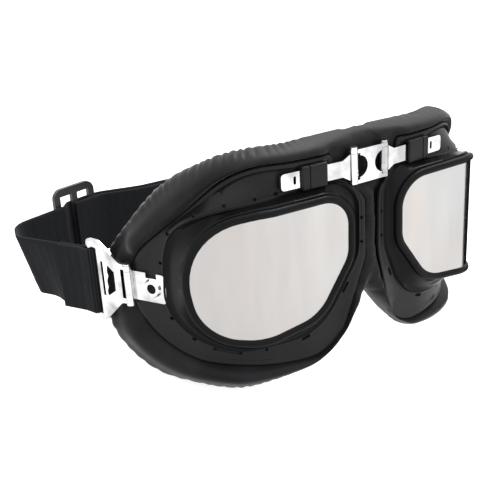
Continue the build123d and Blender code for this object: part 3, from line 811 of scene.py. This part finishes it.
def mask_pieces():
    """The mask, split where it crosses the bridge's joints."""
    whole = build_mask()
    made = []
    for side, word in SIDES:
        spans = [("cushion_" + word, MASK_CUTS[2], None), ("mask_slide_" + word, MASK_CUTS[1], MASK_CUTS[2]),
                 ("mask_fold_" + word, MASK_CUTS[0], MASK_CUTS[1])]
        for name, low, high in spans:
            piece = whole.copy()
            piece.data = whole.data.copy()
            piece.name = name
            bpy.context.scene.collection.objects.link(piece)
            cut(piece, side * low, keep_above=side > 0)
            if high is not None:
                cut(piece, side * high, keep_above=side < 0)
            with_normals(piece, whole)
            made.append((piece, side, word, low, high))
    bpy.data.objects.remove(whole)
    for piece, side, word, low, high in made:
        if high is None:
            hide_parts("face_cushion_" + word)
            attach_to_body(piece, "frame_" + word)
            continue
        if low > 0:
            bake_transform(piece)
        else:
            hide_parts("nose_gusset")
            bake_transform(piece)


# ---- strap
STRAP_Z0, STRAP_Z1 = 20.8, 51.5  # lower and upper edge
STRAP_THICK = 1.8
STRAP_EDGE = 0.8  # how far the rounding reaches in from each edge
LAYER = 2.2  # from the middle of the doubled strap to the middle of a layer
TEMPLE_S, TEMPLE_OUT = 107.0, 2.15  # the temple hinge along and before the flange
BUCKLE_ANGLE, BAR_REACH = math.radians(70.9), 22.1  # from the hinge to the buckle's strap bar
FOLD = (114.0, 111.0)  # the strap's sharp turn
FOLD_LEAN = 7.6  # how far in the bottom of that turn lies
SLIDER_MID, SLIDER_ANGLE = (-73.5, 140.5), math.radians(16.0)
SEWN = 17.0  # length of the sewn end past the bar
FAR_REACH = 38.0
BACK = [(-36, 138.5), (46, 137), (90, 130)]  # corners of the strap behind the head
BAR_RADIUS = 1.4
ROLL_START = 5.0  # from the bar, where the layers lie together
HINGE = np.array(plan(FLANGE_CURVE, TEMPLE_S, TEMPLE_OUT), float)
BAR = HINGE + BAR_REACH * np.array((math.cos(BUCKLE_ANGLE), math.sin(BUCKLE_ANGLE)))
ENTRY = (np.array(FOLD) - BAR) / np.linalg.norm(np.array(FOLD) - BAR)
LEAVE = np.array((math.cos(SLIDER_ANGLE), math.sin(SLIDER_ANGLE)))
ASIDE = np.array((-math.sin(SLIDER_ANGLE), math.cos(SLIDER_ANGLE)))


def at_slider(along, aside):
    return np.array(SLIDER_MID) + LEAVE * along + ASIDE * aside


def rounded_path(points, radii, step=0.8):
    """Close, even points along a path with rounded turns."""
    points = [np.array(p, float) for p in points]
    out = [points[0]]
    for before, corner, after, r in zip(points, points[1:], points[2:], radii):
        u = (before - corner) / np.linalg.norm(before - corner)
        v = (after - corner) / np.linalg.norm(after - corner)
        half = math.acos(np.clip(u @ v, -1, 1)) / 2
        reach = r / math.tan(half)
        a, b = corner + u * reach, corner + v * reach
        out += [a * (1 - t) ** 2 + corner * 2 * t * (1 - t) + b * t * t for t in np.linspace(0, 1, 12)]
    out.append(points[-1])
    out = np.array(out)
    length = np.r_[0, np.cumsum(np.linalg.norm(np.diff(out, axis=0), axis=1))]
    count = max(3, int(length[-1] / step))
    at = np.linspace(0, length[-1], count)
    return np.stack([np.interp(at, length, out[:, i]) for i in (0, 1)], -1), at


def path_normals(path):
    """The left-hand direction at each point of a path."""
    d = np.gradient(path, axis=0)
    d /= np.linalg.norm(d, axis=1)[:, None]
    return np.stack([-d[:, 1], d[:, 0]], -1)


def ribbon(path, at, lean=None):
    """A strip of webbing on edge along a path, with rounded edges and a UV map in millimetres."""
    normals = path_normals(path)
    half = STRAP_THICK / 2
    bottom, top = STRAP_Z0 + STRAP_EDGE, STRAP_Z1 - STRAP_EDGE
    turn = np.linspace(0.4, math.pi - 0.4, 5)
    across = [(-half, z) for z in np.linspace(bottom, top, 15)]
    across += [(-half * math.cos(t), top + STRAP_EDGE * math.sin(t)) for t in turn]
    across += [(half, z) for z in np.linspace(top, bottom, 15)]
    across += [(half * math.cos(t), bottom - STRAP_EDGE * math.sin(t)) for t in turn]
    rings = []
    for offset, z in across:
        shift = 0.0 if lean is None else lean(path, z)
        flat = math.copysign(0.06, -offset) if abs(offset) > 0.7 * half else 0.0
        ripple = flat * np.sin(at * 1.35 + 0.35 * math.sin(z * 0.5))
        plan_points = path + normals * (offset + ripple)[:, None] + shift
        rings.append(np.column_stack([plan_points, np.full(len(path), z)]))
    rings = np.array(rings)
    mesh_bm = grid_bm(rings, closed_along=False)
    mesh_bm.verts.ensure_lookup_table()
    mesh_bm.verts.index_update()
    n, count = len(path), len(across)
    mesh_bm.faces.new([mesh_bm.verts[i * n] for i in range(count)])
    mesh_bm.faces.new([mesh_bm.verts[i * n + n - 1] for i in reversed(range(count))])
    layer = mesh_bm.loops.layers.uv.new("weave")
    for face in mesh_bm.faces:
        for loop in face.loops:
            i, k = divmod(loop.vert.index, n)
            loop[layer].uv = (at[k], across[i][1] + across[i][0] * 0.4)
    return mesh_bm


def strap_piece(name, strips, replaced):
    """One object from several strips of webbing, in place of the CAD nodes named."""
    whole = bmesh.new()
    for strip in strips:
        holder = bpy.data.meshes.new("strip")
        strip.verts.index_update()
        bmesh.ops.recalc_face_normals(strip, faces=strip.faces)
        strip.to_mesh(holder)
        strip.free()
        whole.from_mesh(holder)
        bpy.data.meshes.remove(holder)
    mesh = bpy.data.meshes.new(name)
    whole.to_mesh(mesh)
    whole.free()
    mesh.materials.append(WEBBING)
    mesh.shade_smooth()
    mesh.set_sharp_from_angle(angle=math.radians(60))
    obj = bpy.data.objects.new(name, mesh)
    bpy.context.scene.collection.objects.link(obj)
    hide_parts(*replaced)
    return obj


def roll_path(side):
    """Round the bar: from the sewn end's inner layer, about the bar and out again on the other side."""
    left = np.array((-ENTRY[1], ENTRY[0]))
    r = BAR_RADIUS + STRAP_THICK / 2
    gap = STRAP_THICK / 2 + 0.05
    points = [BAR + ENTRY * SEWN + left * gap, BAR + ENTRY * ROLL_START + left * gap]
    a0 = math.atan2(ENTRY[1], ENTRY[0]) + math.pi / 2
    points += [BAR + r * np.array((math.cos(a0 + t), math.sin(a0 + t)))
               for t in np.linspace(0.35, math.pi - 0.35, 18)]
    points += [BAR + ENTRY * ROLL_START - left * gap, BAR + ENTRY * SEWN - left * gap]
    path, at = rounded_path(points, [0.2] * (len(points) - 2), 0.5)
    return path * (side, 1), at


def part_of(path, at, low, high):
    """The stretch of a path between two distances, and the distances of its points."""
    n = max(3, int((high - low) / 0.8))
    want = np.linspace(low, high, n)
    return np.stack([np.interp(want, at, path[:, i]) for i in (0, 1)], -1), want


def fold_lean(path, z):
    """The sharp turn leans: its bottom lies further in than its top."""
    down = (STRAP_Z1 - z) / (STRAP_Z1 - STRAP_Z0)
    middle = np.array((-FOLD[0], FOLD[1]))
    distance = np.linalg.norm(path - middle, axis=1)
    weight = 1 - smooth(distance, 6, 30)
    return weight[:, None] * down * np.array((FOLD_LEAN, 0.0))


def near_run():
    """The single layer from the near sewn end round the fold to the slider."""
    start = (BAR + ENTRY * SEWN) * (-1, 1)
    corners = [start, (-FOLD[0], FOLD[1]), (-109.5, 127.0), at_slider(-15, -LAYER), at_slider(-8.4, -LAYER),
               at_slider(-2.6, LAYER), at_slider(1.0, LAYER)]
    return rounded_path(corners, [2.2, 14.0, 6.0, 1.5, 1.5], 0.6)


def layer_path(aside, start):
    """One layer of the doubled strap from the slider round to the far sewn end, with its distances."""
    far = [BAR + ENTRY * reach for reach in (FAR_REACH, SEWN)]
    corners = [at_slider(start, 0), at_slider(15.5, 0)] + [np.array(p, float) for p in BACK] + far
    path, _ = rounded_path(corners, [14.0, 30.0, 60.0, 40.0, 14.0])
    path = path + path_normals(path) * aside
    length = np.r_[0, np.cumsum(np.linalg.norm(np.diff(path, axis=0), axis=1))]
    return path, length


def attach(obj, bodies, path, at, low, high):
    """Rides a piece on its body; a piece between two bodies keeps its place, baked into its mesh."""
    if len(bodies) == 1:
        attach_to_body(obj, bodies[0])
    else:
        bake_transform(obj)


def place_strap():
    """The strap in pieces: those on one body ride on it, those between two bodies keep their place."""
    for side, word in SIDES:
        roll = strap_piece("strap_roll_" + word, [ribbon(*roll_path(side))], ["strap_end_" + word])
        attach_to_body(roll, "buckle_" + word)
    path, at = near_run()
    end = at[-1]
    spans = [("strap_near_swing", 0.0, 16.0, ("buckle_right", "frame_right")),
             ("strap_near_fold", 16.0, end - 30.0, ("frame_right",)),
             ("strap_into_slider", end - 30.0, end - 14.0, ("frame_right", "slider")),
             ("strap_in_slider", end - 14.0, end, ("slider",))]
    for name, low, high, bodies in spans:
        obj = strap_piece(name, [ribbon(*part_of(path, at, low, high), fold_lean)], ["strap_run"])
        attach(obj, bodies, path, at, low, high)
    layers = [layer_path(LAYER, 1.2), layer_path(-LAYER, -1.4)]
    total = layers[0][1][-1]  # the inner layer's distances are stretched to this, so both split alike
    spans = [("strap_at_slider", 0.0, 14.0, ("slider",)),
             ("strap_out_of_slider", 14.0, 28.0, ("slider", "frame_right")),
             ("strap_back_near", 28.0, 40.0, ("frame_right", "arm_right")),
             ("strap_back_right", 40.0, 78.0, ("arm_right", "bridge")),
             ("strap_back_left", 78.0, 120.0, ("bridge", "arm_left")),
             ("strap_back_far", 120.0, 134.0, ("arm_left", "frame_left")),
             ("strap_far_turn", 134.0, total - 16.0, ("frame_left",)),
             ("strap_far_swing", total - 16.0, total, ("frame_left", "buckle_left"))]
    for name, low, high, bodies in spans:
        strips = [ribbon(*part_of(path, at / at[-1] * total, low, high)) for path, at in layers]
        obj = strap_piece(name, strips, ["strap_outer_layer", "strap_inner_layer"])
        attach(obj, bodies, *layers[0], low, high)


# ---- carried-over CAD parts
def finish_cad():
    """Better materials and rounded edges on the CAD parts that keep their shape."""
    looks = [("bridge_link", CHROME, 0.22), ("strap_slider", SLIDER_BLACK, 0.45)]
    for word in ("left", "right"):
        looks += [("bridge_arm_" + word, CHROME, 0.22), ("bridge_pin_" + word, CHROME, 0.25),
                  ("temple_bracket_" + word, CHROME, 0.25), ("bracket_rivet_" + word, CHROME, 0.3),
                  ("temple_pin_" + word, CHROME, 0.2), ("strap_buckle_" + word, CHROME, 0.25),
                  ("lens_" + word, MIRROR, 0.0), ("lens_gasket_" + word, RUBBER, 0.15),
                  ("backing_ring_" + word, RIM, 0.2)]
    for node, material, width in looks:
        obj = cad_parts[node]
        obj.data.materials.clear()
        obj.data.materials.append(material)
        if width:
            soften_edges(obj, width)


# ---- stage
# Another program solved the camera's place, directions and lens from the photograph.
CAMERA_AT = (-221.8, -252.7, 185.1)  # drawing millimetres
CAMERA_RIGHT = (0.8284, -0.5576, -0.0541)
CAMERA_UP = (0.2510, 0.2831, 0.9257)
CAMERA_LENS = 61.2


def place_camera():
    """The camera, in front of the goggles on the wearer's right and looking down a little."""
    data = bpy.data.cameras.new("camera")
    camera = bpy.data.objects.new("camera", data)
    bpy.context.scene.collection.objects.link(camera)
    right = Vector(CAMERA_RIGHT).normalized()
    up = Vector(CAMERA_UP)
    up = (up - right * up.dot(right)).normalized()
    back = right.cross(up)
    turn = Matrix((right, up, back)).transposed().to_4x4()
    camera.matrix_world = Matrix.Translation(Vector(to_frame(CAMERA_AT))) @ turn
    data.lens = CAMERA_LENS
    data.sensor_width = 36.0
    data.clip_start = 0.01
    bpy.context.scene.camera = camera


def area_light(name, at, towards, size, watts):
    """A soft light at a place in the frame, in metres."""
    data = bpy.data.lights.new(name, "AREA")
    data.shape = "RECTANGLE"
    data.size, data.size_y = size
    data.energy = watts
    obj = bpy.data.objects.new(name, data)
    bpy.context.scene.collection.objects.link(obj)
    obj.location = at
    obj.rotation_euler = (Vector(towards) - Vector(at)).to_track_quat("-Z", "Y").to_euler()
    return obj


def dark_card():
    """A dark card beside the goggles that only shows as a reflection in the bend of the far lens."""
    material, _, _, shader = new_material("dark_card")
    shader.inputs["Base Color"].default_value = (0.0, 0.0, 0.0, 1)
    shader.inputs["Specular IOR Level"].default_value = 0.0
    shader.inputs["Roughness"].default_value = 1.0
    corners = [(95, -10, 1), (520, -180, 1), (520, 420, 1), (110, 80, 1)]
    mesh = bpy.data.meshes.new("dark_card")
    mesh.from_pydata([tuple(to_frame((x, y, FLOOR_Z + z))) for x, y, z in corners], [], [(0, 1, 2, 3)])
    mesh.materials.append(material)
    card = bpy.data.objects.new("dark_card", mesh)
    bpy.context.scene.collection.objects.link(card)
    card.visible_camera = card.visible_diffuse = card.visible_shadow = False
    card.visible_transmission = card.visible_volume_scatter = False


def stage():
    """Pale floor, soft light from above and a bright room."""
    material, nodes, links, shader = new_material("floor_white")
    shader.inputs["Base Color"].default_value = (0.3, 0.3, 0.3, 1)
    shader.inputs["Roughness"].default_value = 0.9
    shader.inputs["Emission Color"].default_value = (1, 1, 1, 1)
    shader.inputs["Emission Strength"].default_value = 0.85
    mesh = bpy.data.meshes.new("floor")
    mesh.from_pydata([(-6, -6, 0), (6, -6, 0), (6, 6, 0), (-6, 6, 0)], [], [(0, 1, 2, 3)])
    mesh.materials.append(material)
    floor = bpy.data.objects.new("floor", mesh)
    bpy.context.scene.collection.objects.link(floor)
    world = bpy.data.worlds.new("world")
    bpy.context.scene.world = world
    world.use_nodes = True
    nodes, links = world.node_tree.nodes, world.node_tree.links
    direction = add(nodes, "TexCoord")
    height = nodes.new("ShaderNodeSeparateXYZ")
    links.new(direction.outputs["Generated"], height.inputs["Vector"])
    brightness = colour_ramp(nodes, [(0.0, grey(0.45)), (0.15, grey(0.5)), (0.8, grey(1.0))])
    links.new(height.outputs["Z"], brightness.inputs["Fac"])
    links.new(brightness.outputs["Color"], nodes["Background"].inputs["Color"])
    nodes["Background"].inputs["Strength"].default_value = 2.3
    sky = bpy.data.lights.new("sky", "SUN")
    sky.energy = 0.7
    sky.angle = math.radians(120)
    sky_light = bpy.data.objects.new("sky", sky)
    sky_light.rotation_euler = (math.radians(12), math.radians(-22), 0)
    bpy.context.scene.collection.objects.link(sky_light)
    area_light("key", (0.35, 0.15, 0.75), (0, -0.03, 0.08), (0.5, 0.35), 7.0)
    fill = area_light("fill", (0.25, -0.75, 0.45), (0, -0.03, 0.05), (0.4, 0.4), 5.0)
    fill.visible_glossy = False
    dark_card()
    bpy.context.scene.view_settings.view_transform = "Standard"


for SIDE, WORD in SIDES:
    bezel(SIDE, "lens_bezel_" + WORD)
    eye_frame(SIDE, "eye_frame_" + WORD)
    keeper(SIDE, "arm_keeper_" + WORD)
mask_pieces()
place_strap()
finish_cad()
stage()
place_camera()
